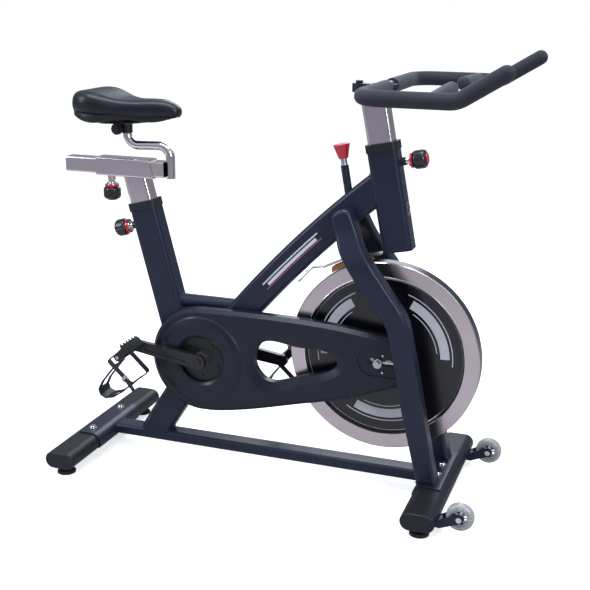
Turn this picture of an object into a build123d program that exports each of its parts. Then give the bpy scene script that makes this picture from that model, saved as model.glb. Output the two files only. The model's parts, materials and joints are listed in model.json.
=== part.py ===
"""Indoor cycling bike: welded tube frame, chain-driven flywheel, sliding saddle and handlebar posts.

Millimetres, +X forward, +Y to the rider's left, +Z up. Geometry is written with x = 0 at the flywheel axle;
ORIGIN_SHIFT then moves it so that the origin is on the floor under the middle of the bounding box.
"""

from build123d import *
import math
import os

# ---------------------------------------------------------------- driving dimensions
ORIGIN_SHIFT = 266.0

FLY_Z = 341.0  # flywheel axle height
FLY_R = 231.0
FLY_RIM_T = 34.0
FLY_WEB_R = 196.0
FLY_WEB_T = 10.0
BEARING_R = 15.0

CRANK_X = -455.0
CRANK_Z = 289.0
CRANK_LENGTH = 170.0
CRANK_ANGLE = 7.8  # right arm above the horizontal, pointing back
CRANK_Y = 73.0  # middle of each arm
CRANK_T = 13.0
SPINDLE_R = 9.0
PEDAL_PIN_R = 4.5

CHAIN_PITCH = 12.7
CHAIN_LINKS = 106
RING_TEETH = 50
COG_TEETH = 16
CHAIN_Y = -42.0
ROLLER_R = 3.5
TOOTH_RISE = 4.2  # of the tooth tips above the pitch circle
RING_R = CHAIN_PITCH / 2 / math.sin(math.pi / RING_TEETH)
COG_R = CHAIN_PITCH / 2 / math.sin(math.pi / COG_TEETH)

TUBE_DEEP = 70.0  # uprights, fore and aft
TUBE_WIDE = 54.0
BEAM_WIDE = 50.0
TUBE_R = 11.0
TUBE_WALL = 3.0
BEAM_DEEP = 71.0
POST_DEEP = 60.0
POST_WIDE = 42.0
POST_R = 8.0
POST_WALL = 2.0
POST_RISE = 90.0  # height adjustment above and below the shown setting
POST_DROP = 25.0
SLOT_R = 5.5
POST_SHIFT = -1.2  # the posts sit a little behind their tubes' axes
SLEEVE_GAP = 0.4  # between a post and its plastic liner

SEAT_LEAN = 14.7  # degrees back from vertical
SEAT_TOP = (-625.0, 664.0)  # x, z of the seat tube's axis at its top
HEAD_LEAN = 11.1
HEAD_TOP = (-20.0, 842.0)
HEAD_LENGTH = 246.0

STAB_X = (-763.5, 146.5)  # rear, front
STAB_Z = 42.0
STAB_W = 80.0
STAB_H = 43.0
STAB_HALF = 233.0
PLATE_T = 3.2
PLATE_HALF = 107.0
BASE_H = 28.0

LEG_DEEP = 48.0
LEG_WIDE = 45.0
LEG_IN = 52.5
LEG_WALL = 3.0
LEG_BEND_R = 105.0
LEG_TOP_R = 17.0
LEG_FOOT = STAB_Z + STAB_H / 2 + 3.2

WHEEL_X = 234.0
WHEEL_Y = 187.0
WHEEL_Z = 50.0
WHEEL_R = 32.0
WHEEL_T = 24.0

SLIDE_SIZE = 38.0
CARRIAGE_SIZE = 45.5
SLIDE_FORWARD = 60.0
SLIDE_BACK = 20.0
SLIDE_Z = 750.5

BAR_Z = 971.0
BAR_Y = 260.0
HORN_X = 285.0
HORN_Z = BAR_Z + 57.0
BAR_X = -11.0
BAR_TUBE_D = 25.4
GRIP_D = 34.0

PARTS = {}


def keep(name, *shapes):
    """Collects solids under a node name."""
    solids = []
    for shape in shapes:
        solids.extend(shape.solids())
    PARTS.setdefault(name, []).extend(solids)


def cyl(radius, p1, p2):
    """A solid cylinder from point p1 to point p2."""
    a, b = Vector(*p1), Vector(*p2)
    d = b - a
    return extrude(Plane(origin=a, z_dir=d) * Circle(radius), amount=d.length)


def ring(r_out, r_in, p1, p2):
    a, b = Vector(*p1), Vector(*p2)
    d = b - a
    face = Plane(origin=a, z_dir=d) * (Circle(r_out) - Circle(r_in))
    return extrude(face, amount=d.length)


def box(x, y, z):
    """A box from (low, high) pairs."""
    size = [b - a for a, b in (x, y, z)]
    mid = [(a + b) / 2 for a, b in (x, y, z)]
    return Pos(*mid) * Box(*size)


def section(p, direction, deep, wide, radius):
    """A rounded rectangle at (x, z) point p, square to an XZ direction: deep lies in XZ, wide along Y."""
    plane = Plane(origin=(p[0], 0, p[1]), x_dir=(0, 1, 0), z_dir=(direction[0], 0, direction[1]))
    return plane * RectangleRounded(wide, deep, radius)


def straight_bar(p, direction, length, deep, wide, radius):
    return extrude(section(p, direction, deep, wide, radius), amount=length)


def prism(points, y_low, y_high):
    """Extrudes a closed XZ polygon between two Y planes."""
    edges = Polyline(*[(x, z) for x, z in points], close=True)
    face = Plane.XZ * make_face(edges)
    return Pos(0, y_high, 0) * extrude(face, amount=y_high - y_low)


def circles_over(shape, radius):
    """Circular edges larger than a radius."""
    return [e for e in shape.edges().filter_by(GeomType.CIRCLE) if e.radius > radius]


def lean(angle):
    """Unit XZ direction pointing up and back by angle degrees."""
    return (-math.sin(math.radians(angle)), math.cos(math.radians(angle)))


def along(p, direction, distance, side=0.0):
    """The point at a distance along direction from p, and side forward of it."""
    return (
        p[0] + direction[0] * distance + direction[1] * side,
        p[1] + direction[1] * distance - direction[0] * side,
    )


SEAT_DIR = lean(SEAT_LEAN)
HEAD_DIR = lean(HEAD_LEAN)
SEAT_LENGTH = 440.0


# ---------------------------------------------------------------- frame tubes
def upright_outer(top, direction, length):
    return straight_bar(along(top, direction, -length), direction, length, TUBE_DEEP, TUBE_WIDE, TUBE_R)


def beam_solid(inset):
    """The curved main beam, shrunk by inset all round."""
    path = ThreePointArc((-615, 0, 51), (-354, 0, 419), (-19, 0, 750))
    start = path % 0
    face = section((-615, 51), (start.X, start.Z), BEAM_DEEP - 2 * inset, BEAM_WIDE - 2 * inset,
        TUBE_R + 1 - inset)
    return sweep(face, path=path)


def biggest(shape):
    return max(shape.solids(), key=lambda s: s.volume)


def build_frame():
    base_top = STAB_Z + BASE_H / 2 + 8
    head_solid = upright_outer(HEAD_TOP, HEAD_DIR, HEAD_LENGTH)
    head_bore = straight_bar(
        along(HEAD_TOP, HEAD_DIR, -HEAD_LENGTH - 5), HEAD_DIR, HEAD_LENGTH + 10,
        TUBE_DEEP - 2 * TUBE_WALL, TUBE_WIDE - 2 * TUBE_WALL, TUBE_R - TUBE_WALL,
    )
    beam_outer = beam_solid(0)
    shell = bottom_bracket_shell()
    brake_hole = cyl(9.5, *[(p[0], 0, p[1]) for p in (along(BRAKE_TOP, BRAKE_DIR, -260), along(BRAKE_TOP,
        BRAKE_DIR, 20))])
    below_base = box((-900, 300), (-60, 60), (0, base_top))
    beam = beam_outer - beam_solid(TUBE_WALL) - head_solid - below_base - filled_shell() - brake_hole
    keep("main_beam", biggest(beam))
    head_pin = pin_hole(HEAD_PIN, (-HEAD_DIR[1], HEAD_DIR[0]))
    keep("head_tube", head_solid - head_bore - head_pin)

    seat_solid = upright_outer(SEAT_TOP, SEAT_DIR, SEAT_LENGTH)
    seat_bore = straight_bar(
        along(SEAT_TOP, SEAT_DIR, -SEAT_LENGTH - 5), SEAT_DIR, SEAT_LENGTH + 10,
        TUBE_DEEP - 2 * TUBE_WALL, TUBE_WIDE - 2 * TUBE_WALL, TUBE_R - TUBE_WALL,
    )
    seat_pin = pin_hole(SEAT_PIN, (SEAT_DIR[1], -SEAT_DIR[0]))
    seat_tube = seat_solid - seat_bore - beam_outer - filled_shell() - seat_pin
    keep("seat_tube", max(seat_tube.solids(), key=lambda s: s.center().Z))

    bridge = cyl(17, (-590, 0, 422), (-330, 0, 422)) - cyl(14.5, (-595, 0, 422), (-325, 0, 422))
    keep("bridge_tube", middle_piece(bridge - seat_solid - beam_outer, -455))

    base_z = base_top - BASE_H / 2
    rear_face = STAB_X[0] + STAB_W / 2 + PLATE_T
    front_face = STAB_X[1] - STAB_W / 2 - PLATE_T
    length = front_face - rear_face
    base = straight_bar((rear_face, base_z), (1, 0), length, BASE_H, BEAM_WIDE, 9)
    base_bore = straight_bar((rear_face - 5, base_z), (1, 0), length + 10, BASE_H - 5, BEAM_WIDE - 5, 6.5)
    keep("base_tube", base - base_bore)
    keep("welded_fittings", shell)


def middle_piece(shape, x):
    return min(shape.solids(), key=lambda s: abs(s.center().X - x))


def pin_hole(at, outward):
    """A cutter for a pop pin, through one wall only."""
    ends = [(at[0] + d * outward[0], 0, at[1] + d * outward[1]) for d in (-14, 20)]
    return cyl(5.5, *ends)


BB_HALF = 31.0


def filled_shell():
    return cyl(24, (CRANK_X, -BB_HALF, CRANK_Z), (CRANK_X, BB_HALF, CRANK_Z))


def bottom_bracket_shell():
    return ring(24, 19, (CRANK_X, -BB_HALF, CRANK_Z), (CRANK_X, BB_HALF, CRANK_Z))


# seat tube pop pin, head tube pop pin: (x, z) on the tube's outer face
SEAT_PIN = along(SEAT_TOP, SEAT_DIR, -50, -TUBE_DEEP / 2)
HEAD_PIN = along(HEAD_TOP, HEAD_DIR, -44, TUBE_DEEP / 2)
SLIDE_PIN = (-716.0, SLIDE_Z - CARRIAGE_SIZE / 2)

BRAKE_TOP = (-109.5, 789.0)  # top of the brake sleeve
BRAKE_DIR = lean(10.2)
ROD_R = 4.6
ROD_FOOT = -204.5
PAD_GAP = 2.5
LEAF_ROOT = (-215.0, 504.0)  # rolled eye that the leaf turns on


def bent_outline(first, second, first_r, second_r):
    """A closed face between two bent lines, each bent with its own radius."""
    sides = FilletPolyline(*first, radius=first_r) + FilletPolyline(*second, radius=second_r)
    return make_face(sides + Line(first[-1], second[0]) + Line(second[-1], first[0]))


def leg_solid(sign, inset):
    """One bent leg: a side profile crossed with a front profile, both shrunk by inset."""
    rear = [(-124, 684), (-96, 602), (-41, 522), (22, 446), (40, 372), (69, 231), (121, 20)]
    front = [(167, 20), (121, 231), (94, 366), (72, 462), (11, 545), (-42, 616), (-80, 704)]
    bent = BEAM_WIDE / 2
    inner = [(bent, 760), (bent, 655), (LEG_IN, 590), (LEG_IN, 20)]
    outer = [(LEG_IN + LEG_WIDE, 20), (LEG_IN + LEG_WIDE, 580), (bent + LEG_WIDE, 650),
        (bent + LEG_WIDE - 5, 760)]
    side_face = bent_outline(rear, front, LEG_BEND_R, LEG_BEND_R + LEG_DEEP)
    side_face = fillet(side_face.vertices().sort_by(Axis.Y)[-2:], LEG_TOP_R)
    inner, outer = [[(sign * y, z) for y, z in line] for line in (inner, outer)]
    front_face = bent_outline(inner, outer, LEG_BEND_R, LEG_BEND_R)
    if inset:
        side_face, front_face = offset(side_face, -inset), offset(front_face, -inset)
    side = Pos(0, 200, 0) * extrude(Plane.XZ * side_face, amount=400)
    leg = side & (Pos(-300, 0, 0) * extrude(Plane.YZ * front_face, amount=600))
    return biggest(leg & box((-300, 300), (-200, 200), (LEG_FOOT, 800)))


def build_legs():
    """Two bent legs from the beam's sides down to the front foot plate, outside the flywheel."""
    for sign in (1, -1):
        leg = leg_solid(sign, 0)
        long_edges = [e for e in leg.edges() if e.length > 25 and abs((e % 0.5).Y) < 0.95]
        keep("fork_legs", fillet_what_works(leg, long_edges, 9.0) - leg_solid(sign, LEG_WALL))


def fillet_what_works(solid, edges, radius):
    """Fillets the edges together, with smaller radii if the first doesn't build."""
    for r in (radius, radius * 0.7, radius * 0.5, radius * 0.3):
        try:
            return fillet(edges, r)
        except Exception:
            continue
    return solid


# ---------------------------------------------------------------- stabilizers and feet
def obround(x, z, width, height, y_low, y_high):
    plane = Plane(origin=(x, y_low, z), x_dir=(1, 0, 0), z_dir=(0, 1, 0))
    return extrude(plane * SlotOverall(width, height), amount=y_high - y_low)


def build_stabilizers():
    for name, x, side in (("rear", STAB_X[0], 1), ("front", STAB_X[1], -1)):
        outer = obround(x, STAB_Z, STAB_W, STAB_H, -STAB_HALF, STAB_HALF)
        bore = obround(x, STAB_Z, STAB_W - 5, STAB_H - 5, -STAB_HALF - 1, STAB_HALF + 1)
        holes = [(x, y) for y in (-205, 205)]
        tube = outer - bore
        for hx, hy in holes:
            tube -= cyl(5.08, (hx, hy, 0), (hx, hy, STAB_Z))
        plate_outer = obround(x, STAB_Z, STAB_W + 2 * PLATE_T, STAB_H + 2 * PLATE_T, -PLATE_HALF, PLATE_HALF)
        solid_tube = obround(x, STAB_Z, STAB_W, STAB_H, -PLATE_HALF - 1, PLATE_HALF + 1)
        reach = sorted((x - side * 16, x + side * 60))
        if name == "front":
            reach = sorted((x + 24, x - 60))
        keep_box = box(tuple(reach), (-200, 200), (STAB_Z - 14, 120))
        plate = plate_outer - solid_tube
        bolt_x = x + (4 if name == "rear" else 1)
        bolt_y = 75 if name == "rear" else 27
        top = STAB_Z + STAB_H / 2
        for y in (-bolt_y, bolt_y):
            hole = cyl(5.2, (bolt_x, y, top - 10), (bolt_x, y, top + 10))
            plate -= hole
            tube -= hole
            shank = cyl(5.0, (bolt_x, y, top - 18), (bolt_x, y, top + PLATE_T))
            head = cyl(9.5, (bolt_x, y, top + PLATE_T), (bolt_x, y, top + PLATE_T + 1.6))
            dome = Pos(bolt_x, y, top + PLATE_T + 1.6) * Sphere(8.0) & box(
                (bolt_x - 9, bolt_x + 9), (y - 9, y + 9), (top + PLATE_T + 1.6, top + 20)
            )
            dome = dome & box((bolt_x - 9, bolt_x + 9), (y - 9, y + 9), (top, top + PLATE_T + 6.5))
            keep("frame_bolts", shank + head + dome)
        keep("stabilizer_brackets", biggest(plate & keep_box))
        keep(f"{name}_stabilizer", tube)
        for s in (-1, 1):
            y0, y1 = sorted((s * STAB_HALF, s * (STAB_HALF + 6)))
            cap = obround(x, STAB_Z, STAB_W, STAB_H, y0, y1)
            far_face = cap.faces().sort_by(Axis.Y)[-1 if s > 0 else 0]
            cap = fillet(far_face.edges(), 4.0)
            y0, y1 = sorted((s * (STAB_HALF - 14), s * STAB_HALF))
            plug = obround(x, STAB_Z, STAB_W - 5.4, STAB_H - 5.4, y0, y1)
            keep("stabilizer_end_caps", cap + plug)
            foot_name = f"levelling_foot_{name}_{'left' if s > 0 else 'right'}"
            y = s * 205
            pad = cyl(23.0, (x, y, 0), (x, y, 7))
            pad = chamfer(pad.edges().sort_by(Axis.Z)[-1], 2.5)
            neck = cyl(9, (x, y, 7), (x, y, 14))
            stud = cyl(5.0, (x, y, 14), (x, y, 51))
            keep(foot_name, pad + neck + stud)


# ---------------------------------------------------------------- transport wheels
def build_wheels():
    front = STAB_X[1] + STAB_W / 2
    for side, s in (("left", 1), ("right", -1)):
        y = s * WHEEL_Y
        c = (WHEEL_X, WHEEL_Z)
        half = WHEEL_T / 2
        tyre = ring(WHEEL_R, 20, (c[0], y - half, c[1]), (c[0], y + half, c[1]))
        tyre = fillet(circles_over(tyre, 25), 8.0)
        keep(f"transport_wheel_{side}", tyre)
        hub = ring(20, 16.5, (c[0], y - 9, c[1]), (c[0], y + 9, c[1]))
        hub += ring(7.5, 4.06, (c[0], y - 11, c[1]), (c[0], y + 11, c[1]))
        for k in range(7):
            spoke = Pos(12, 0, 0) * Box(11, 3.2, 10)
            turned = Rotation(0, 0, k * 360 / 7) * spoke
            hub += Location((c[0], y, c[1]), (90, 0, 0)) * turned
        keep(f"transport_wheel_{side}", hub)
        arm_in, arm_out = half + 1.5, half + 5.0
        bracket = None
        for t in (-1, 1):
            lo, hi = sorted((y + t * arm_in, y + t * arm_out))
            arm = prism([(front + 1, 20), (front + 1, 40), (c[0] - 8, c[1] + 11), (c[0], c[1] - 11),
                (c[0] - 12, c[1] - 16)], lo, hi)
            arm += cyl(11, (c[0], lo, c[1]), (c[0], hi, c[1]))
            arm -= cyl(4.05, (c[0], lo - 1, c[1]), (c[0], hi + 1, c[1]))
            bracket = arm if bracket is None else bracket + arm
        web = box((front - 6, front + 8), (y - arm_out, y + arm_out), (22, 40))
        web -= obround(STAB_X[1], STAB_Z, STAB_W, STAB_H, -STAB_HALF, STAB_HALF)
        keep("stabilizer_brackets", bracket + web)
        bolt = cyl(4.0, (c[0], y - arm_out - 0.0, c[1]), (c[0], y + arm_out, c[1]))
        bolt += cyl(6.5, (c[0], y - arm_out - 4, c[1]), (c[0], y - arm_out, c[1]))
        bolt += cyl(6.5, (c[0], y + arm_out, c[1]), (c[0], y + arm_out + 4, c[1]))
        keep("frame_bolts", bolt)


# ---------------------------------------------------------------- flywheel
def build_flywheel():
    c = (0, FLY_Z)
    rim_half = FLY_RIM_T / 2
    rim = ring(FLY_R, FLY_WEB_R, (c[0], -rim_half, c[1]), (c[0], rim_half, c[1]))
    rim = chamfer(circles_over(rim, FLY_R - 1), 2.0)
    web = ring(FLY_WEB_R + 1, 21, (c[0], -FLY_WEB_T / 2, c[1]), (c[0], FLY_WEB_T / 2, c[1]))
    keep("flywheel_casting", rim + web)
    hub = ring(21, BEARING_R, (c[0], -32, c[1]), (c[0], 26, c[1]))
    for low, high in ((-FLY_WEB_T / 2 - 6, -FLY_WEB_T / 2), (FLY_WEB_T / 2, FLY_WEB_T / 2 + 6)):
        hub += ring(34, 20.5, (c[0], low, c[1]), (c[0], high, c[1]))
    keep("flywheel_hub", hub)
    for y in (-31, 15):
        keep("bearings", ring(BEARING_R - 0.05, 6.5, (c[0], y, c[1]), (c[0], y + 10, c[1])))
    cog = toothed_disc(COG_TEETH, COG_R, 15.2, c, CHAIN_Y, 3.0, COG_PHASE)
    cog += ring(21, 15.2, (c[0], CHAIN_Y + 1.5, c[1]), (c[0], -32, c[1]))
    keep("flywheel_sprocket", cog)


C_DIST = math.hypot(CRANK_X, FLY_Z - CRANK_Z)
LINE_ANGLE = math.atan2(FLY_Z - CRANK_Z, -CRANK_X)
WRAP = math.asin((RING_R - COG_R) / C_DIST)
STRAIGHT = math.sqrt(C_DIST**2 - (RING_R - COG_R) ** 2)


def chain_point(s):
    """Point at distance s along the pitch line, starting where the top run leaves the chainring."""
    top = LINE_ANGLE + math.pi / 2 - WRAP
    bottom = LINE_ANGLE - math.pi / 2 + WRAP
    cog_arc = COG_R * (math.pi - 2 * WRAP)
    ring_arc = RING_R * (math.pi + 2 * WRAP)
    s = s % (2 * STRAIGHT + cog_arc + ring_arc)
    a = (CRANK_X + RING_R * math.cos(top), CRANK_Z + RING_R * math.sin(top))
    b = (COG_R * math.cos(top), FLY_Z + COG_R * math.sin(top))
    if s < STRAIGHT:
        t = s / STRAIGHT
        return (a[0] + (b[0] - a[0]) * t, a[1] + (b[1] - a[1]) * t)
    s -= STRAIGHT
    if s < cog_arc:
        angle = top - s / COG_R
        return (COG_R * math.cos(angle), FLY_Z + COG_R * math.sin(angle))
    s -= cog_arc
    c = (COG_R * math.cos(bottom), FLY_Z + COG_R * math.sin(bottom))
    d = (CRANK_X + RING_R * math.cos(bottom), CRANK_Z + RING_R * math.sin(bottom))
    if s < STRAIGHT:
        t = s / STRAIGHT
        return (c[0] + (d[0] - c[0]) * t, c[1] + (d[1] - c[1]) * t)
    angle = bottom - (s - STRAIGHT) / RING_R
    return (CRANK_X + RING_R * math.cos(angle), CRANK_Z + RING_R * math.sin(angle))


CHAIN_LENGTH = 2 * STRAIGHT + COG_R * (math.pi - 2 * WRAP) + RING_R * (math.pi + 2 * WRAP)
ROLLERS = [chain_point((i + 0.5) * CHAIN_LENGTH / CHAIN_LINKS) for i in range(CHAIN_LINKS)]


def phase_of(centre, radius, wanted):
    """Angle of the roller nearest the wanted direction on a sprocket."""
    on = [p for p in ROLLERS if abs(math.dist(p, centre) - radius) < 0.05]
    angles = [math.atan2(p[1] - centre[1], p[0] - centre[0]) for p in on]
    return min(angles, key=lambda a: abs(math.remainder(a - wanted, 2 * math.pi)))


COG_PHASE = phase_of((0, FLY_Z), COG_R, LINE_ANGLE)
RING_PHASE = phase_of((CRANK_X, CRANK_Z), RING_R, LINE_ANGLE + math.pi)


def toothed_disc(teeth, pitch_r, bore_r, centre, y, thick, phase):
    """A sprocket: a disc with a round root cut at every roller seat."""
    disc = ring(pitch_r + TOOTH_RISE, bore_r, (centre[0], y - thick / 2, centre[1]),
        (centre[0], y + thick / 2, centre[1]))
    seats = []
    for i in range(teeth):
        angle = phase + i * 2 * math.pi / teeth
        for reach, radius in ((0.0, 4.9), (4.5, 5.5)):
            x = centre[0] + (pitch_r + reach) * math.cos(angle)
            z = centre[1] + (pitch_r + reach) * math.sin(angle)
            seats.append(cyl(radius, (x, y - thick, z), (x, y + thick, z)))
    return disc - seats


def build_chain():
    """Side plates as two closed bands, joined by a roller at every pitch that the teeth don't sweep through."""
    band = 3.9

    def loop(offset):
        top = LINE_ANGLE + math.pi / 2 - WRAP
        bottom = LINE_ANGLE - math.pi / 2 + WRAP
        r1, r2 = RING_R + offset, COG_R + offset
        a = (CRANK_X + r1 * math.cos(top), CRANK_Z + r1 * math.sin(top))
        b = (r2 * math.cos(top), FLY_Z + r2 * math.sin(top))
        m = (r2 * math.cos(LINE_ANGLE), FLY_Z + r2 * math.sin(LINE_ANGLE))
        c = (r2 * math.cos(bottom), FLY_Z + r2 * math.sin(bottom))
        d = (CRANK_X + r1 * math.cos(bottom), CRANK_Z + r1 * math.sin(bottom))
        n = (CRANK_X - r1 * math.cos(LINE_ANGLE), CRANK_Z - r1 * math.sin(LINE_ANGLE))
        return make_face(Line(a, b) + ThreePointArc(b, m, c) + Line(c, d) + ThreePointArc(d, n, a))

    strip = loop(band) - loop(-band)
    for y0, y1 in ((CHAIN_Y - 4.4, CHAIN_Y - 2.6), (CHAIN_Y + 2.6, CHAIN_Y + 4.4)):
        plate = Pos(0, y1, 0) * extrude(Plane.XZ * strip, amount=y1 - y0)
        keep("drive_chain", plate)
    for p in ROLLERS:
        clear_of_ring = math.dist(p, (CRANK_X, CRANK_Z)) > RING_R + TOOTH_RISE + ROLLER_R + 0.3
        clear_of_cog = math.dist(p, (0, FLY_Z)) > COG_R + TOOTH_RISE + ROLLER_R + 0.3
        if clear_of_ring and clear_of_cog:
            keep("drive_chain", cyl(ROLLER_R, (p[0], CHAIN_Y - 2.6, p[1]), (p[0], CHAIN_Y + 2.6, p[1])))


# ---------------------------------------------------------------- axle and dropouts
def build_axle():
    c = (0, FLY_Z)
    keep("flywheel_axle", cyl(6.5, (c[0], -74, c[1]), (c[0], 74, c[1])))
    for s in (-1, 1):
        lo, hi = sorted((s * (LEG_IN - 5.5), s * LEG_IN))
        plate = prism([(-34, FLY_Z - 22), (-34, FLY_Z + 22), (26, FLY_Z + 28), (62, FLY_Z + 22),
            (78, FLY_Z - 24),
                       (20, FLY_Z - 28)], lo, hi)
        slot = box((-18, 34), (lo - 1, hi + 1), (FLY_Z - 6.8, FLY_Z + 6.8))
        slot += cyl(6.8, (-18, lo - 1, FLY_Z), (-18, hi + 1, FLY_Z))
        keep("welded_fittings", plate - slot)
        inner = sorted((s * 34, s * (LEG_IN - 5.5)))
        keep("flywheel_axle", ring(9.5, 6.5, (c[0], inner[0], c[1]), (c[0], inner[1], c[1])))
        outer = sorted((s * LEG_IN, s * (LEG_IN + 8.5)))
        nut = Plane(origin=(c[0], outer[0], c[1]), z_dir=(0, 1, 0)) * RegularPolygon(10.5, 6)
        bore = cyl(6.5, (c[0], -80, c[1]), (c[0], 80, c[1]))
        keep("flywheel_axle", extrude(nut, amount=outer[1] - outer[0]) - bore)
        keep("flywheel_axle", cyl(3.0, (11, s * (LEG_IN + 3.2), FLY_Z), (38, s * (LEG_IN + 3.2), FLY_Z)))


# ---------------------------------------------------------------- crankset
def crank_tip(s):
    """(x, z) of the pedal axis: s = -1 right arm (back), +1 left arm (forward)."""
    a = math.radians(CRANK_ANGLE)
    return (CRANK_X + s * CRANK_LENGTH * math.cos(a), CRANK_Z - s * CRANK_LENGTH * math.sin(a))


def build_crankset():
    c = (CRANK_X, CRANK_Z)
    inner_face = CRANK_Y - CRANK_T / 2
    outer_face = CRANK_Y + CRANK_T / 2
    spindle = cyl(SPINDLE_R, (c[0], -inner_face, c[1]), (c[0], inner_face, c[1]))
    spindle += cyl(19, (c[0], -inner_face, c[1]), (c[0], CHAIN_Y - 6, c[1]))
    keep("crank_spindle", spindle)
    for s in (-1, 1):
        lo, hi = sorted((s * 13, s * 27))
        keep("bearings", ring(19, SPINDLE_R + 0.05, (c[0], lo, c[1]), (c[0], hi, c[1])))
        lo, hi = sorted((s * BB_HALF, s * 35))
        keep("bearings", ring(23, 9.6, (c[0], lo, c[1]), (c[0], hi, c[1])))
    ring_gear = toothed_disc(RING_TEETH, RING_R, 62, c, CHAIN_Y, 3.0, RING_PHASE)
    ring_gear -= [cyl(9, *across_y(c, 80, 20 + 72 * k, CHAIN_Y - 5, CHAIN_Y + 5)) for k in range(5)]
    spider = ring(66, SPINDLE_R, (c[0], CHAIN_Y - 6, c[1]), (c[0], CHAIN_Y - 1.5, c[1]))
    keep("chainring", ring_gear + spider)
    for k in range(5):
        keep("chainring", cyl(4.5, *across_y(c, 44, 52 + 72 * k, CHAIN_Y - 9, CHAIN_Y - 6)))
    for s in (-1, 1):
        keep("crank_arms", crank_arm(s))
        tip = crank_tip(s)
        face = s * outer_face
        keep("chainring", cyl(9.5, (c[0], face, c[1]), (c[0], face + s * 3, c[1])))
        pin = cyl(PEDAL_PIN_R, (tip[0], face, tip[1]), (tip[0], face + s * 96, tip[1]))
        pin += cyl(8, (tip[0], face, tip[1]), (tip[0], face + s * 3.6, tip[1]))
        keep("pedal_spindles", pin)


def across_y(centre, radius, degrees, y_low, y_high):
    """Two end points of a line along Y at a polar position about centre."""
    a = math.radians(degrees)
    x, z = centre[0] + radius * math.cos(a), centre[1] + radius * math.sin(a)
    return (x, y_low, z), (x, y_high, z)


def crank_arm(s):
    """A tapered arm with a round eye at each end and a shallow groove along its outer face."""
    y0, y1 = sorted((s * (CRANK_Y - CRANK_T / 2), s * (CRANK_Y + CRANK_T / 2)))
    c, tip = (CRANK_X, CRANK_Z), crank_tip(s)
    d = ((tip[0] - c[0]) / CRANK_LENGTH, (tip[1] - c[1]) / CRANK_LENGTH)

    def bar(start, end, half_start, half_end):
        """Corners of a tapered bar between two distances along the arm."""
        a, b = along(c, d, start), along(c, d, end)
        corners = []
        for p, half in ((a, half_start), (b, half_end), (b, -half_end), (a, -half_start)):
            corners.append((p[0] + d[1] * half, p[1] - d[0] * half))
        return corners

    arm = prism(bar(0, CRANK_LENGTH, 18.0, 14.0), y0, y1)
    arm += cyl(19, (c[0], y0, c[1]), (c[0], y1, c[1]))
    arm += cyl(15, (tip[0], y0, tip[1]), (tip[0], y1, tip[1]))
    face = s * (CRANK_Y + CRANK_T / 2)
    g0, g1 = sorted((face - s * 2.5, face + s))
    return arm - prism(bar(32, CRANK_LENGTH - 26, 7.0, 5.0), g0, g1)


# ---------------------------------------------------------------- pedals
PEDAL_TILT = 133.0  # turn about the pedal axis: the clip hangs below, pointing down and back
PEDAL_W = 86.0  # between the cage's end plates, along the spindle
PEDAL_L = 56.0  # between the front and rear cage plates
CAGE_T = 2.4


def pedal_place(s):
    """Local pedal frame: x towards the toe, y outward along the spindle, z out of the sole."""
    tip = crank_tip(s)
    middle = s * (CRANK_Y + CRANK_T / 2 + 53)
    return Location((tip[0], middle, tip[1]), (0, PEDAL_TILT, 0))


def toothed_plate(length, height, thick, teeth):
    """An upright plate along local Y with a saw edge above and below, standing at x = 0."""
    half = length / 2
    step = length / teeth
    pts = []
    for k in range(teeth):
        y = -half + k * step
        pts += [(y, height / 2 - 5), (y + step * 0.3, height / 2 - 5), (y + step * 0.5, height / 2),
            (y + step * 0.7, height / 2 - 5)]
    pts.append((half, height / 2 - 5))
    low = [(y, -z) for y, z in reversed(pts)]
    face = make_face(Polyline(*(pts + low), close=True))
    return Pos(-thick / 2, 0, 0) * extrude(Plane.YZ * face, amount=thick)


def build_pedals():
    for side, s in (("left", 1), ("right", -1)):
        place = pedal_place(s)
        body = Rotation(90, 0, 0) * Cylinder(11, PEDAL_W - 8)
        body += Box(PEDAL_L - CAGE_T, 16, 9)
        body -= Rotation(90, 0, 0) * Cylinder(PEDAL_PIN_R + 0.06, 200)
        keep(f"pedal_body_{side}", place * body)
        front = Pos(PEDAL_L / 2, 0, -2) * toothed_plate(PEDAL_W, 34, CAGE_T, 5)
        rear = Pos(-PEDAL_L / 2, 0, -2) * toothed_plate(PEDAL_W, 34, CAGE_T, 6)
        cage = front + rear
        for t in (-1, 1):
            end = Pos(0, t * (PEDAL_W / 2 + CAGE_T / 2), 0) * Box(PEDAL_L + CAGE_T, CAGE_T, 18)
            cage += end - Rotation(90, 0, 0) * Cylinder(9.5, 200)
        keep(f"pedal_cage_{side}", place * biggest(cage))
        keep(f"toe_clip_{side}", place * toe_clip())
        keep(f"toe_strap_{side}", place * toe_strap())


def toe_clip():
    """A bowed plastic cage over the toes: a side band each side, joined at the root, nose and instep."""
    x0 = PEDAL_L / 2 + CAGE_T / 2
    outer = [(x0, 5), (x0 + 30, 7), (x0 + 64, 10), (x0 + 87, 17), (x0 + 95, 31), (x0 + 90, 47), (x0 + 70, 60),
             (x0 + 40, 67), (x0, 69)]
    inner = [(x0, 66), (x0 + 39, 64), (x0 + 68, 57), (x0 + 87, 45), (x0 + 92, 31), (x0 + 85, 20),
        (x0 + 63, 13),
             (x0 + 30, 10), (x0 + 3, 8), (x0, 8)]
    band = make_face(Polyline(*(outer + inner), close=True))
    whole = Pos(0, 25, 0) * extrude(Plane.XZ * band, amount=50)
    for low, high in ((x0 + 22, x0 + 84), (x0 + 12, x0 + 76)):
        window_z = (-20, 30) if low > x0 + 15 else (40, 80)
        whole -= box((low, high), (-14, 14), window_z)
    return whole


def toe_strap():
    """A closed strap loop around the pedal cage and over the foot."""
    outer = Plane.YZ * (Pos(0, 29) * RectangleRounded(96.4, 84, 9))
    inner = Plane.YZ * (Pos(0, 29) * RectangleRounded(92.4, 80, 7))
    return Pos(13.5, 0, 0) * extrude(outer - inner, amount=12)


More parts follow.
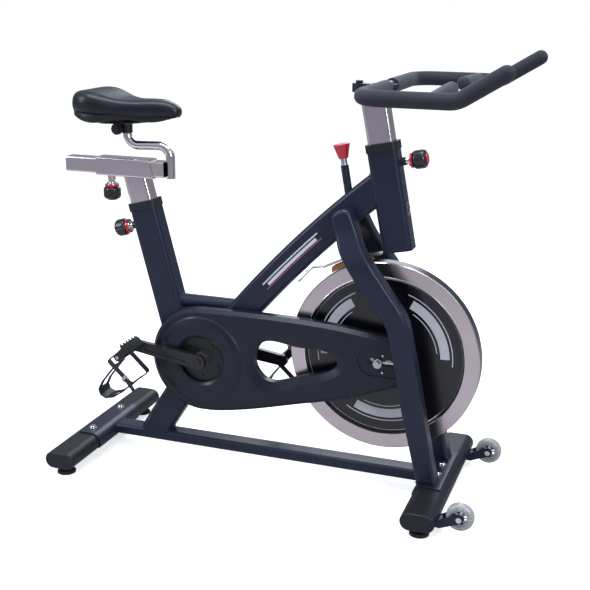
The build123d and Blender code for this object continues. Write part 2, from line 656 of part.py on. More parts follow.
# ---------------------------------------------------------------- chain guard
GUARD_R = 133.5
GUARD_C = (CRANK_X - 1.0, CRANK_Z - 2.0)
GUARD_FACE = -57.0
GUARD_BACK = -32.0
GUARD_WALL = 2.5


def guard_face(inset):
    """The guard's closed outline, moved in by inset."""
    r = GUARD_R - inset
    top_start = (GUARD_C[0], GUARD_C[1] + r)
    bottom_start = (GUARD_C[0] + 12, GUARD_C[1] - r + 0.6)
    top = Spline(
        top_start, (-370, 422 - inset), (-200, 421 - inset), (-60, 411 - inset), (30 - inset * 0.2,
            399 - inset),
        tangents=[(1, 0), (0.98, -0.12)], tangent_scalars=[0.6, 0.6],
    )
    bottom = Spline(
        (51 - inset * 0.2, 283 + inset), (-60, 242 + inset), (-200, 204 + inset), (-340,
            169 + inset), bottom_start,
        tangents=[(-0.96, -0.3), (-1, 0.05)], tangent_scalars=[0.6, 0.6],
    )
    nose = Line(top @ 1, bottom @ 0)
    back = ThreePointArc(bottom_start, (GUARD_C[0] - r, GUARD_C[1]), top_start)
    return make_face(top + nose + bottom + back)


def window_face(grow):
    """The rounded opening in the middle of the guard, grown by grow."""
    pts = [
        (-307 - grow, 335), (-307 - grow, 277), (-288 - grow * 0.7, 258 - grow), (-182, 281 - grow),
        (-122, 300 - grow * 0.9), (-103 + grow, 323), (-119, 342 + grow * 0.8), (-200, 350 + grow), (-292,
            352 + grow),
    ]
    return make_face(Spline(*pts, periodic=True))


def xz_slab(face, y0, y1):
    return Pos(0, y1, 0) * extrude(Plane.XZ * face, amount=y1 - y0)


def facing(y):
    """A plane at y whose local x is +X and local y is +Z."""
    return Plane(origin=(0, y, 0), x_dir=(1, 0, 0), z_dir=(0, -1, 0))


def build_guard():
    """Moulded two-part guard: a bevelled cover with a through window, and a flat back panel."""
    bevel = 9.0
    shoulder = GUARD_FACE + bevel
    outer = xz_slab(guard_face(0), shoulder, GUARD_BACK)
    outer += loft([facing(shoulder) * guard_face(0), facing(GUARD_FACE) * guard_face(bevel)])
    hollow = xz_slab(guard_face(GUARD_WALL), shoulder, GUARD_BACK + 1)
    hollow += xz_slab(guard_face(bevel + GUARD_WALL), GUARD_FACE + GUARD_WALL, shoulder)
    nose_open = box((24, 80), (GUARD_FACE + GUARD_WALL, GUARD_BACK + 1), (FLY_Z - 50, FLY_Z + 46))
    shell = outer - hollow - nose_open
    dish_floor = GUARD_FACE + 8
    shell += loft([facing(GUARD_FACE) * window_face(27), facing(dish_floor + 2.5) * window_face(5)])
    shell += xz_slab(window_face(3), dish_floor, GUARD_BACK)
    boss = cyl(39, (-15, GUARD_FACE + 0.5, FLY_Z), (-15, GUARD_FACE + 4, FLY_Z))
    boss += box((-15, 80), (GUARD_FACE + 0.5, GUARD_FACE + 4), (FLY_Z - 39, FLY_Z + 39))
    shell += boss & outer
    recess = cyl(36, (-15, GUARD_FACE - 2, FLY_Z), (-15, GUARD_FACE + 2.5, FLY_Z))
    recess += box((-15, 80), (GUARD_FACE - 2, GUARD_FACE + 2.5), (FLY_Z - 36, FLY_Z + 36))
    dish = loft([facing(GUARD_FACE - 1) * window_face(25), facing(dish_floor) * window_face(2)])
    slot = box((-20, 60), (GUARD_FACE - 5, GUARD_BACK + 1), (FLY_Z - 8, FLY_Z + 8))
    slot += cyl(8, (-20, GUARD_FACE - 5, FLY_Z), (-20, GUARD_BACK + 1, FLY_Z))
    slot += cyl(13, (0, GUARD_FACE - 5, FLY_Z), (0, GUARD_BACK + 1, FLY_Z))
    crank_hole = cyl(100, (CRANK_X, GUARD_FACE - 5, CRANK_Z), (CRANK_X, GUARD_FACE + 6, CRANK_Z))
    shell = shell - recess - dish - xz_slab(window_face(0), GUARD_FACE - 2,
        GUARD_BACK + 2) - slot - crank_hole
    keep("chain_guard_outer", biggest(shell))

    back = xz_slab(guard_face(0.0), GUARD_BACK, GUARD_BACK + 2.4)
    back -= xz_slab(window_face(0), GUARD_BACK - 2, GUARD_BACK + 4)
    back -= cyl(26, (CRANK_X, GUARD_BACK - 2, CRANK_Z), (CRANK_X, GUARD_BACK + 4, CRANK_Z))
    back -= cyl(40, (0, GUARD_BACK - 2, FLY_Z), (0, GUARD_BACK + 4, FLY_Z))
    back -= box((0, 90), (GUARD_BACK - 2, GUARD_BACK + 4), (FLY_Z - 40, FLY_Z + 40))
    keep("chain_guard_inner", biggest(back))

    plane = Plane(origin=(CRANK_X, 0, CRANK_Z), x_dir=(1, 0, 0), z_dir=(0, 0, 1))
    face = GUARD_FACE
    profile = make_face(
        Polyline((59, face + 5), (59, face - 2), (66, face - 6.5), (96, face - 6.5), (108, face - 3),
            (112, face),
                 (99.5, face), (98, face - 2.5), (70, face - 3.5), (62, face), (62, face + 5), close=True)
    )
    keep("crank_cover", revolve(plane * profile, axis=Axis((CRANK_X, 0, CRANK_Z), (0, 1, 0)),
        revolution_arc=360))


# ---------------------------------------------------------------- pop-pin knobs
def knob(at, outward, node, boss_node):
    """A sprung pop pin: a threaded boss on the tube, a pin, and a ribbed ball grip with two coloured bands."""
    o = Vector(outward[0], 0, outward[1])
    p = Vector(at[0], 0, at[1])

    def q(distance):
        v = p + o * distance
        return (v.X, v.Y, v.Z)

    keep(boss_node, ring(9.5, PIN_R + 0.06, q(0), q(13)))
    keep(node, cyl(PIN_R, q(-11.5), q(20)) + cyl(8, q(13.3), q(20)))
    grip = cyl(21.5, q(29), q(61))
    grip = fillet(grip.edges().filter_by(GeomType.CIRCLE), 9.0)
    ribs = []
    for k in range(10):
        a = 2 * math.pi * k / 10
        side = Vector(0, 1, 0) * math.cos(a) + o.cross(Vector(0, 1, 0)) * math.sin(a)
        start, end = p + side * 23.4 + o * 33, p + side * 23.4 + o * 57
        ribs.append(cyl(2.8, tuple(start), tuple(end)))
    keep(node, cyl(13, q(20), q(24)), grip - ribs)
    keep(node, cyl(17.5, q(24), q(29)), cyl(12, q(61), q(63)))


PIN_R = 4.95


def build_knobs():
    knob(SEAT_PIN, (-SEAT_DIR[1], SEAT_DIR[0]), "seat_height_knob", "welded_fittings")
    knob(HEAD_PIN, (HEAD_DIR[1], -HEAD_DIR[0]), "handlebar_height_knob", "welded_fittings")
    knob(SLIDE_PIN, (0, -1), "seat_slider_knob", "slider_carriage")


# ---------------------------------------------------------------- tube liners
def liner(top, direction, depth):
    """A plastic sleeve: lining inside the tube and a lip that caps it."""
    inner = straight_bar(along(top, direction, -depth - 5, POST_SHIFT), direction, depth + 40,
                         POST_DEEP + 2 * SLEEVE_GAP, POST_WIDE + 2 * SLEEVE_GAP, POST_R + SLEEVE_GAP)
    lining = straight_bar(along(top, direction, -depth), direction, depth, TUBE_DEEP - 2 * TUBE_WALL,
                          TUBE_WIDE - 2 * TUBE_WALL, TUBE_R - TUBE_WALL)
    lip = straight_bar(top, direction, 5, TUBE_DEEP + 5, TUBE_WIDE + 5, TUBE_R + 2.5)
    skirt = straight_bar(along(top, direction, -14), direction, 14, TUBE_DEEP + 5, TUBE_WIDE + 5,
        TUBE_R + 2.5)
    skirt -= straight_bar(along(top, direction, -15), direction, 16, TUBE_DEEP, TUBE_WIDE, TUBE_R)
    return lining + lip + skirt - inner


def build_liners():
    for top, direction, pin, out in (
        (SEAT_TOP, SEAT_DIR, SEAT_PIN, (-SEAT_DIR[1], SEAT_DIR[0])),
        (HEAD_TOP, HEAD_DIR, HEAD_PIN, (HEAD_DIR[1], -HEAD_DIR[0])),
    ):
        keep("tube_sleeves", liner(top, direction, 120) - pin_hole(pin, out))


# ---------------------------------------------------------------- seat post, slider, saddle
def post_tube(top, direction, depth, z_top, pin, side):
    """A thin-walled post from inside its tube up to a level cut, slotted for its pin on one side."""
    foot = along(top, direction, -depth, POST_SHIFT)
    length = depth + (z_top - top[1]) / direction[1] + 30
    post = straight_bar(foot, direction, length, POST_DEEP, POST_WIDE, POST_R)
    post -= straight_bar(along(foot, direction, -1), direction, length + 5, POST_DEEP - 2 * POST_WALL,
                         POST_WIDE - 2 * POST_WALL, POST_R - POST_WALL)
    post -= box((-1000, 500), (-60, 60), (z_top, z_top + 400))
    ends = [along(pin, direction, d) for d in (-POST_RISE, POST_DROP)]
    plane = Plane(origin=(ends[0][0], 0, ends[0][1]), x_dir=(0, 1, 0), z_dir=(direction[0], 0, direction[1]))
    slot = extrude(plane * Rectangle(2 * SLOT_R, 36), amount=POST_RISE + POST_DROP)
    for x, z in ends:
        near, far = along((x, z), direction, 0, -18), along((x, z), direction, 0, 18)
        slot += cyl(SLOT_R, (near[0], 0, near[1]), (far[0], 0, far[1]))
    return biggest(post - slot)


def square_tube(x_low, x_high, size, corner, wall=0.0):
    """A square bar along X at the slider's height, hollow if a wall is given."""
    length = x_high - x_low
    plane = Plane(origin=(x_low, 0, SLIDE_Z), z_dir=(1, 0, 0))
    bar = extrude(plane * RectangleRounded(size, size, corner), amount=length)
    if wall:
        bar -= extrude(plane * RectangleRounded(size - 2 * wall, size - 2 * wall, corner - wall / 2),
            amount=length)
    return bar


def build_seat():
    """Chrome post with a square carriage, a sliding tube through it and a bent stem to the saddle."""
    half = CARRIAGE_SIZE / 2
    keep("seat_post", post_tube(SEAT_TOP, SEAT_DIR, 180, SLIDE_Z - half, SEAT_PIN, -1))
    low, high = SLIDE_Z - half, SLIDE_Z + half
    block = prism([(-747, low), (-590, low), (-602, high), (-747, high)], -half, half)
    block = fillet(block.edges().filter_by(Axis.X), 4.0)
    block -= square_tube(-800, -540, SLIDE_SIZE + 0.8, 4)
    block -= cyl(5.5, (SLIDE_PIN[0], 0, low - 5), (SLIDE_PIN[0], 0, low + 6))
    keep("slider_carriage", block)
    tube = square_tube(-831, SLIDE_FRONT, SLIDE_SIZE, 4, 2.0)
    slot_ends = (SLIDE_PIN[0] - SLIDE_FORWARD, SLIDE_PIN[0] + SLIDE_BACK)
    tube -= box(slot_ends, (-SLOT_R, SLOT_R), (SLIDE_Z - 25, SLIDE_Z - 8))
    tube -= [cyl(SLOT_R, (x, 0, SLIDE_Z - 25), (x, 0, SLIDE_Z - 8)) for x in slot_ends]
    tube += square_tube(-834, -831, SLIDE_SIZE, 4)
    stem_base = SLIDE_Z - SLIDE_SIZE / 2 - 3
    keep("slider_tube", tube - cyl(STEM_R, (STEM_X, 0, 700), (STEM_X, 0, 800)))
    path = FilletPolyline(
        (STEM_X, 0, stem_base), (STEM_X, 0, 808), (SADDLE_X, 0, 804), (SADDLE_X, 0, 856), radius=30
    )
    keep("saddle_stem", swept(path, STEM_R) - swept(path, STEM_R - 2.5))


STEM_R = 11.0
STEM_X = -552.0
SLIDE_FRONT = -563.0
SADDLE_X = -668.0  # the stem's upright end
SADDLE_PIVOT = (-684.0, 845.0)


def saddle_section(x, z_mid, width, height):
    r = min(width, height) * 0.42
    return Plane(origin=(x, 0, z_mid), x_dir=(0, 1, 0), z_dir=(1, 0, 0)) * RectangleRounded(width, height, r)


def build_saddle():
    """Clamp on the stem; a bolt, two cheeks and two rails that tilt with the saddle; base and pad."""
    px, pz = SADDLE_PIVOT
    through = cyl(4.05, (px, -40, pz), (px, 40, pz))
    cup = cyl(13.5, (SADDLE_X, 0, 835), (SADDLE_X, 0, 855)) + cyl(9, (px, -15, pz), (px, 15, pz))
    keep("saddle_clamp", biggest(cup - cyl(STEM_R, (SADDLE_X, 0, 800), (SADDLE_X, 0, 870)) - through))
    bolt = cyl(4.0, (px, -31, pz), (px, 31, pz))
    rails = []
    for s in (-1, 1):
        rail = FilletPolyline((-755, s * 28, 866), (-725, s * 21, 859), (-655, s * 21, 861),
            (-560, s * 13, 873), radius=20)
        rails += sweep(Plane(origin=rail @ 0, z_dir=rail % 0) * Circle(3.5), path=rail).solids()
        bolt += cyl(9, (px, s * 26, pz), (px, s * 31, pz))
    for s in (-1, 1):
        cheek = cyl(14, (px, s * 15.4, pz), (px, s * 26, pz)) - cyl(4.0, (px, -40, pz), (px, 40, pz))
        keep("saddle_rails", biggest(cheek - rails))
    keep("saddle_rails", bolt, *rails)
    base_sections = [
        (-786, 882, 96, 10), (-748, 877, 150, 24), (-700, 876, 140, 22), (-650, 877, 90, 14), (-600, 873,
            56, 16),
        (-560, 876, 42, 12), (-530, 881, 28, 8),
    ]
    pad_sections = [
        (-801, 898, 60, 30), (-781, 907, 124, 48), (-748, 911, 168, 56), (-708, 906, 162, 52), (-668, 899,
            122, 43),
        (-620, 896, 84, 44), (-570, 897, 62, 44), (-534, 893, 42, 33), (-522, 889, 28, 20),
    ]
    base = loft([saddle_section(*s) for s in base_sections])
    pad = loft([saddle_section(*s) for s in pad_sections])
    keep("saddle_pad", biggest(pad - rails))
    keep("saddle_base", biggest(base - pad - rails))


# ---------------------------------------------------------------- handlebar
def bar_path(s, y_start):
    """Centreline of one side of the bar: cross tube, corner, side tube, raised horn."""
    return FilletPolyline(
        (BAR_X, s * y_start, BAR_Z), (BAR_X, s * BAR_Y, BAR_Z), (193, s * BAR_Y, BAR_Z), (HORN_X,
            s * BAR_Y, HORN_Z),
        radius=54,
    )


def swept(path, radius):
    return sweep(Plane(origin=path @ 0, z_dir=path % 0) * Circle(radius), path=path)


STUB_X = 143.0
STUB_IN = 68.0
STUB_Z = BAR_Z + 7


def build_handlebar():
    """Chrome post, a flat bracket with a bolt, and a bent steel bar with two inward stubs."""
    top_z = 957.0
    keep("handlebar_post", post_tube(HEAD_TOP, HEAD_DIR, 170, top_z, HEAD_PIN, 1))
    bracket = extrude(Plane(origin=(-43, 0, top_z), z_dir=(0, 0, 1)) * SlotOverall(104, 34), amount=20)
    foam_bore = cyl(BAR_TUBE_D / 2, (BAR_X, -60, BAR_Z), (BAR_X, 60, BAR_Z))
    keep("handlebar_bracket", bracket - foam_bore)
    keep("handlebar_bracket", cyl(8, (-79, 0, top_z + 20), (-79, 0, top_z + 26)))
    bar, bore = bar_solid(BAR_TUBE_D / 2), bar_solid(BAR_TUBE_D / 2 - 2)
    keep("handlebar_tube", bar - bore)
    return bar


def bar_solid(radius):
    """The bent bar with its two stubs, as one solid of the given radius."""
    bar = swept(bar_path(1, 0), radius) + swept(bar_path(-1, 0), radius)
    for s in (-1, 1):
        bar += cyl(radius - 2, (STUB_X, s * STUB_IN, STUB_Z), (STUB_X, s * (BAR_Y - 2), BAR_Z + 1))
    return bar


def build_grips(bar):
    """Closed-end foam over everything but the middle of the bar."""
    for s in (-1, 1):
        foam = swept(bar_path(s, 26), GRIP_D / 2)
        foam += cyl(GRIP_D / 2 - 1.5, (STUB_X, s * STUB_IN, STUB_Z), (STUB_X, s * (BAR_Y - 2), BAR_Z + 1))
        foam += Pos(STUB_X, s * STUB_IN, STUB_Z) * Sphere(GRIP_D / 2 - 1.6)
        foam += Pos(HORN_X, s * BAR_Y, HORN_Z) * Sphere(GRIP_D / 2 - 0.1)
        keep("foam_grips", biggest(foam - bar))


# ---------------------------------------------------------------- brake
def build_brake():
    """Sprung rod in a welded sleeve, with a flared knob above and a foot that bears on the pad's backing."""
    def at(distance):
        p = along(BRAKE_TOP, BRAKE_DIR, distance)
        return (p[0], 0, p[1])

    keep("welded_fittings", ring(9.3, ROD_R + 0.07, at(-172), at(0)))
    keep("brake_rod", cyl(ROD_R, at(ROD_FOOT), at(25)) + cyl(8.0, at(ROD_FOOT - 6), at(ROD_FOOT)))
    cone = Solid.make_cone(11, 20, 34, plane=Plane(origin=at(16), z_dir=Vector(BRAKE_DIR[0], 0,
        BRAKE_DIR[1])))
    bored = cone - cyl(ROD_R + 0.06, at(10), at(25.1))
    top_edge = bored.edges().filter_by(GeomType.CIRCLE).sort_by(SortBy.RADIUS)[-1]
    keep("brake_knob", fillet(top_edge, 2.5))
    keep("brake_spring", ring(7.4, ROD_R + 0.3, at(0.3), at(15.7)))


def build_brake_arm():
    """A leather-faced pad over the flywheel, its steel backing, and a thin leaf screwed under the beam."""
    strip = [(-152, 543), (-103, 567), (-42, 582), (-14, 588)]
    thick = 3.5
    backing = prism(strip + [(x, z + thick) for x, z in reversed(strip)], -15, 15)
    leaf = [(-150, 545), (-182, 538), (-214, 503), (-216, 505), (-183, 541), (-150, 547)]
    backing += prism(leaf, -9, 9) + cyl(2.6, (LEAF_ROOT[0], -9, LEAF_ROOT[1]),
        (LEAF_ROOT[0], 9, LEAF_ROOT[1]))
    keep("brake_leaf", backing)
    arc = []
    for k in range(9):
        a = math.radians(98 + 26 * k / 8)
        arc.append(((FLY_R + PAD_GAP) * math.cos(a), FLY_Z + (FLY_R + PAD_GAP) * math.sin(a)))
    top = [(-132, 548), (-103, 563), (-42, 578)]
    pad = prism(arc + top, -14, 14)
    keep("brake_pad", biggest(pad - backing))


def main():
    os.makedirs("parts", exist_ok=True)
    build_frame()
    build_legs()
    build_stabilizers()
    build_wheels()
    build_flywheel()
    build_chain()
    build_axle()
    build_crankset()
    build_pedals()
    build_guard()
    build_liners()
    build_knobs()
    build_seat()
    build_saddle()
    build_grips(build_handlebar())
    build_brake()
    build_brake_arm()
    for old in os.listdir("parts"):
        os.remove(os.path.join("parts", old))
    shift = Location((ORIGIN_SHIFT, 0, 0))
    for name, solids in PARTS.items():
        moved = [shift * s for s in solids]
        export_step(Compound(children=moved) if len(moved) > 1 else moved[0], f"parts/{name}.step")
    print(len(PARTS), "nodes")


main()
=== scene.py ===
"""Looks for the indoor cycling bike: materials, soft saddle, welds, fasteners and trim, light and camera.

Metres, +X forward, +Y to the rider's left, +Z up. CAD nodes stay where they are, and new pieces take their
places from them.
"""

import itertools
import json
import math

import bmesh
import bpy
from mathutils import Matrix, Vector
from mathutils.bvhtree import BVHTree
from mathutils.geometry import convex_hull_2d


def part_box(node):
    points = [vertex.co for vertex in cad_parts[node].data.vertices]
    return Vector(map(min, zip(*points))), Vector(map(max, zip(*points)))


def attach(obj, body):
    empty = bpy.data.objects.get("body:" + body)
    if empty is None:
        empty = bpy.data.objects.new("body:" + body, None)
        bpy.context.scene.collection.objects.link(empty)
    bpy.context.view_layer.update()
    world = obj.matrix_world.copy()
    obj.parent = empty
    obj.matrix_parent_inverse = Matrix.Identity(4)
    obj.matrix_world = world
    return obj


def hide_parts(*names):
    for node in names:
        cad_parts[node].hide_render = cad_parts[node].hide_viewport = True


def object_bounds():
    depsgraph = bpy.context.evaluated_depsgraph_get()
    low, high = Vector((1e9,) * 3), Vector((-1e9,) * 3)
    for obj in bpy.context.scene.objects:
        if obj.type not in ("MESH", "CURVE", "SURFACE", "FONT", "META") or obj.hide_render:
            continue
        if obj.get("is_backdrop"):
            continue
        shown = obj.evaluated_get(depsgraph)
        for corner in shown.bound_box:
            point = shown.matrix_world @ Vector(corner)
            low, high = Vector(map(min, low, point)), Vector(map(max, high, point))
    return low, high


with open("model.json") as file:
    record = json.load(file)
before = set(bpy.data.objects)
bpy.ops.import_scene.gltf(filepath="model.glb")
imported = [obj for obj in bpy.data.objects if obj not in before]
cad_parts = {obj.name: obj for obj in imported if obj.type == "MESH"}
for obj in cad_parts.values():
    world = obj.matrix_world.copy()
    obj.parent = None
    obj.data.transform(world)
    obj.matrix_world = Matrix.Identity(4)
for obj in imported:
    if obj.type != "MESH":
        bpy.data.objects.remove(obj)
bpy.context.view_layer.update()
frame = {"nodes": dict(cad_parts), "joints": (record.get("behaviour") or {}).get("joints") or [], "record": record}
NODES = frame["nodes"]
JOINTS = {j["name"]: j for j in frame["joints"]}
SLOT_OF = {s["node"]: s["material_slot"] for s in frame["record"]["subparts"]}
BODY_OF = {n: b for b, members in frame["record"]["behaviour"]["bodies"].items() for n in members}
FLY = Vector(JOINTS["flywheel_spin"]["pos_m"])
SHIFT = FLY.x  # the flywheel's axis is where the design measures x from
CREASE = math.radians(42)  # faces that meet more sharply than this keep a crisp edge
GRAIN_DEPTH = 0.0004
SIDES = (("right", -1), ("left", 1))


# ---------------------------------------------------------------- materials
def material(name, colour, rough, metallic=0.0, coat=0.0, grain=1200.0, bump=0.1, spread=0.08, tint=0.25,
             stretch=(1, 1, 1), about=None, sheen=0.0, specular=0.5, cells=False, patches=9.0):
    """A procedural finish: large soft patches in the colour, fine grain in the roughness and the surface."""
    m = bpy.data.materials.new(name)
    m.use_nodes = True
    nodes, links = m.node_tree.nodes, m.node_tree.links
    shader = nodes["Principled BSDF"]
    shader.inputs["Metallic"].default_value = metallic
    shader.inputs["Coat Weight"].default_value = coat
    shader.inputs["Coat Roughness"].default_value = 0.12
    shader.inputs["Sheen Weight"].default_value = sheen
    shader.inputs["Specular IOR Level"].default_value = specular
    coords = nodes.new("ShaderNodeTexCoord").outputs["Object"]
    if about is not None:
        where = radial(nodes, links, coords, about)
    else:
        mapping = nodes.new("ShaderNodeMapping")
        mapping.inputs["Scale"].default_value = stretch
        links.new(coords, mapping.inputs["Vector"])
        where = mapping.outputs["Vector"]
    soft = nodes.new("ShaderNodeTexNoise")
    soft.inputs["Scale"].default_value = patches
    soft.inputs["Detail"].default_value = 3
    links.new(coords, soft.inputs["Vector"])
    if cells:
        fine = nodes.new("ShaderNodeTexVoronoi")
        fine_out = fine.outputs["Distance"]
    else:
        fine = nodes.new("ShaderNodeTexNoise")
        fine.inputs["Detail"].default_value = 4
        fine_out = fine.outputs["Fac"]
    fine.inputs["Scale"].default_value = grain
    links.new(where, fine.inputs["Vector"])
    mix = nodes.new("ShaderNodeMix")
    mix.data_type = "RGBA"
    mix.inputs["A"].default_value = (*[c * (1 - tint) for c in colour], 1)
    mix.inputs["B"].default_value = (*[min(1, c * (1 + tint)) for c in colour], 1)
    links.new(soft.outputs["Fac"], mix.inputs["Factor"])
    links.new(mix.outputs["Result"], shader.inputs["Base Color"])
    level = nodes.new("ShaderNodeMapRange")
    level.inputs["To Min"].default_value = max(0.02, rough - spread)
    level.inputs["To Max"].default_value = min(1.0, rough + spread)
    links.new(fine_out, level.inputs["Value"])
    links.new(level.outputs["Result"], shader.inputs["Roughness"])
    if bump:
        relief = nodes.new("ShaderNodeBump")
        relief.inputs["Strength"].default_value = bump
        relief.inputs["Distance"].default_value = GRAIN_DEPTH
        links.new(fine_out, relief.inputs["Height"])
        links.new(relief.outputs["Normal"], shader.inputs["Normal"])
    return m


def radial(nodes, links, coords, centre):
    """Distance from an axis along Y through centre, as a texture coordinate for turned metal."""
    offset = nodes.new("ShaderNodeVectorMath")
    offset.operation = "SUBTRACT"
    offset.inputs[1].default_value = centre
    flat = nodes.new("ShaderNodeVectorMath")
    flat.operation = "MULTIPLY"
    flat.inputs[1].default_value = (1, 0, 1)
    length = nodes.new("ShaderNodeVectorMath")
    length.operation = "LENGTH"
    links.new(coords, offset.inputs[0])
    links.new(offset.outputs["Vector"], flat.inputs[0])
    links.new(flat.outputs["Vector"], length.inputs[0])
    combine = nodes.new("ShaderNodeCombineXYZ")
    links.new(length.outputs["Value"], combine.inputs["X"])
    return combine.outputs["Vector"]


FINISHES = {  # colour, roughness, and what else differs from a plain finish
    "frame_paint": ((0.010, 0.014, 0.030), 0.38, dict(coat=0.15, grain=1500, bump=0.16, specular=0.28)),
    "stabilizer_paint": ((0.011, 0.011, 0.015), 0.44, dict(grain=1300, bump=0.2, specular=0.3)),
    "guard": ((0.007, 0.009, 0.018), 0.36, dict(coat=0.12, grain=1700, bump=0.14, specular=0.3)),
    "plastic": ((0.010, 0.011, 0.016), 0.45, dict(grain=1500, bump=0.16, specular=0.35)),
    "gloss_plastic": ((0.010, 0.010, 0.012), 0.30, dict(coat=0.2, grain=700, bump=0.05)),
    "red_plastic": ((0.52, 0.010, 0.018), 0.26, dict(coat=0.4, grain=500, bump=0.05, tint=0.12)),
    "chrome": ((0.80, 0.78, 0.75), 0.10, dict(metallic=1, grain=260, bump=0.03, spread=0.05, tint=0.06)),
    "post_chrome": ((0.84, 0.75, 0.74), 0.17, dict(metallic=1, grain=900, bump=0.05, spread=0.08, tint=0.10,
        stretch=(1, 1, 0.05))),
    "slide_chrome": ((0.88, 0.79, 0.78), 0.17, dict(metallic=1, grain=900, bump=0.05, spread=0.08,
        tint=0.10, stretch=(0.05, 1, 1))),
    "zinc": ((0.55, 0.55, 0.54), 0.34, dict(metallic=1, grain=600, bump=0.06, tint=0.12)),
    "chain": ((0.20, 0.20, 0.20), 0.36, dict(metallic=1, grain=500, bump=0.08, tint=0.3)),
    "polished_rim": ((0.64, 0.565, 0.56), 0.22, dict(metallic=1, grain=1500, bump=0.10, tint=0.10,
        about=tuple(FLY), spread=0.08)),
    "tread": ((0.055, 0.058, 0.07), 0.30, dict(metallic=0.85, grain=1500, bump=0.12, about=tuple(FLY))),
    "black_disc": ((0.003, 0.003, 0.005), 0.24, dict(coat=0.3, grain=1500, bump=0.05)),
    "graphic": ((0.55, 0.56, 0.58), 0.42, dict(grain=1200, bump=0.06, tint=0.08)),
    "graphic_red": ((0.40, 0.10, 0.12), 0.42, dict(grain=1200, bump=0.06, tint=0.08)),
    "black_steel": ((0.020, 0.020, 0.022), 0.36, dict(metallic=0.4, grain=900, bump=0.12)),
    "aluminium": ((0.012, 0.012, 0.014), 0.30, dict(metallic=0.25, coat=0.2, grain=900, bump=0.10)),
    "vinyl": ((0.006, 0.007, 0.012), 0.36, dict(grain=620, bump=0.16, cells=True, tint=0.2, specular=0.38)),
    "foam": ((0.009, 0.010, 0.019), 0.80, dict(grain=1100, bump=0.7, tint=0.3, sheen=0.1)),
    "rubber": ((0.016, 0.016, 0.017), 0.70, dict(grain=900, bump=0.3)),
    "strap": ((0.016, 0.016, 0.018), 0.68, dict(grain=900, bump=0.6, stretch=(1, 0.2, 1))),
    "felt": ((0.30, 0.115, 0.045), 0.80, dict(grain=800, bump=0.6, tint=0.35)),
    "tyre": ((0.36, 0.37, 0.36), 0.26, dict(coat=0.3, grain=300, bump=0.04, tint=0.2)),
}
M = {name: material(name, colour, rough, **more) for name, (colour, rough, more) in FINISHES.items()}

NODE_FINISH = {
    "chain_guard_outer": "guard", "chain_guard_inner": "guard", "crank_cover": "guard",
    "drive_chain": "chain", "seat_post": "post_chrome", "handlebar_post": "post_chrome",
    "slider_carriage": "slide_chrome", "slider_tube": "slide_chrome",
    "flywheel_casting": "polished_rim", "saddle_clamp": "black_steel",
    "frame_bolts": "chrome", "seat_height_knob": "gloss_plastic", "brake_rod": "chrome",
}


def finish_of(node):
    return M[NODE_FINISH.get(node, SLOT_OF[node] if SLOT_OF[node] in M else "zinc")]


for name, obj in NODES.items():
    obj.data.materials.clear()
    obj.data.materials.append(finish_of(name))


def repaint(node, choose, *finishes):
    """Gives each face of a CAD node one of several finishes: choose(centre, normal) returns its index."""
    mesh = NODES[node].data
    mesh.materials.clear()
    for f in finishes:
        mesh.materials.append(M[f])
    for polygon in mesh.polygons:
        polygon.material_index = choose(polygon.center, polygon.normal)


def from_axis(point, centre):
    return math.hypot(point.x - centre.x, point.z - centre.z)


# ---------------------------------------------------------------- mesh helpers
def piece(name, verts, faces, finish, body, smooth=True):
    """A new mesh that moves with a CAD body."""
    mesh = bpy.data.meshes.new(name)
    mesh.from_pydata([tuple(v) for v in verts], [], faces)
    mesh.validate()
    work = bmesh.new()
    work.from_mesh(mesh)
    bmesh.ops.recalc_face_normals(work, faces=work.faces)
    work.to_mesh(mesh)
    work.free()
    mesh.materials.append(M[finish])
    if smooth:
        mesh.shade_smooth()
    obj = bpy.data.objects.new(name, mesh)
    bpy.context.scene.collection.objects.link(obj)
    if smooth:
        edge = obj.modifiers.new("edges", "EDGE_SPLIT")
        edge.split_angle = CREASE
    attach(obj, body)
    return obj


def frame_at(direction):
    """Two unit vectors square to a direction."""
    d = Vector(direction).normalized()
    side = d.cross(Vector((0, 1, 0)))
    if side.length < 1e-4:
        side = d.cross(Vector((1, 0, 0)))
    side.normalize()
    return side, d.cross(side).normalized()


def tube_mesh(points, radius, closed=False, around=10, flat=1.0):
    """Vertices and faces of a round section swept along points. radius is a number or one per point."""
    points = [Vector(p) for p in points]
    count = len(points)
    radii = radius if isinstance(radius, (list, tuple)) else [radius] * count
    verts, faces = [], []
    normal = None
    for i, p in enumerate(points):
        ahead = points[(i + 1) % count] if closed or i + 1 < count else p
        behind = points[i - 1] if closed or i else p
        d = (ahead - behind).normalized()
        if normal is None:
            normal = frame_at(d)[0]
        normal = (normal - d * normal.dot(d)).normalized()
        other = d.cross(normal)
        for k in range(around):
            a = 2 * math.pi * k / around
            verts.append(p + (normal * math.cos(a) + other * math.sin(a) * flat) * radii[i])
    rows = count if closed else count - 1
    for i in range(rows):
        j = (i + 1) % count
        for k in range(around):
            n = (k + 1) % around
            faces.append((i * around + k, i * around + n, j * around + n, j * around + k))
    if not closed:
        faces.append(tuple(range(around)))
        faces.append(tuple((count - 1) * around + k for k in range(around)))
    return verts, faces


def tube(name, points, radius, finish, body, closed=False, around=10, flat=1.0):
    verts, faces = tube_mesh(points, radius, closed, around, flat)
    return piece(name, verts, faces, finish, body)


